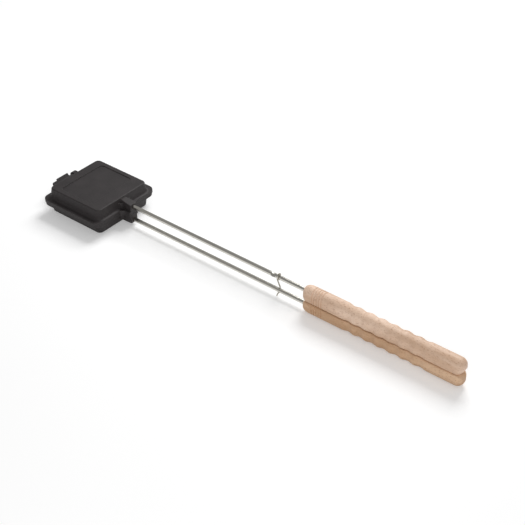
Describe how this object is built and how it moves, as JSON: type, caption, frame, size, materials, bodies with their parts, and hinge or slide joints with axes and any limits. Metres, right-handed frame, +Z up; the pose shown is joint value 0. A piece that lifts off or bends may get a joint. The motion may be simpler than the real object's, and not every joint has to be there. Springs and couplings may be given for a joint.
{
  "type": "sandwich iron",
  "caption": "Hinged cast-iron sandwich iron for the fire: square pans closing face to face, steel rods, grooved wooden handles and a swinging wire latch.",
  "frame": {"origin": "on the surface the iron stands on, under the middle of its overall length and width", "axes": "+X from the hinge towards the handle ends, +Z up out of the upper pan's back, Y across the pans"},
  "size_m": [0.7294, 0.127, 0.0436],
  "materials": {
    "cast_iron": "fine cast skin, seasoned",
    "plated_steel": "bright plated",
    "plated_wire": "plated wire",
    "pale_beech": "bare turned beech",
    "darker_beech": "bare turned beech"
  },
  "bodies": {
    "lower_half": {"lower_plate": "cast_iron", "lower_rod": "plated_steel", "lower_handle": "darker_beech"},
    "upper_half": {"upper_plate": "cast_iron", "upper_rod": "plated_steel", "upper_handle": "pale_beech"},
    "latch": {"latch": "plated_wire"}
  },
  "joints": [
    {"name": "pan_hinge", "type": "hinge", "parent": "lower_half", "child": "upper_half", "pos_m": [-0.35431, 0, 0.0218], "axis": [0, -1, 0], "range_deg": [0, 180]},
    {"name": "latch_swing", "type": "hinge", "parent": "upper_half", "child": "latch", "pos_m": [0.06619, 0, 0.033], "axis": [1, 0, 0], "range_deg": [0, 180]}
  ]
}
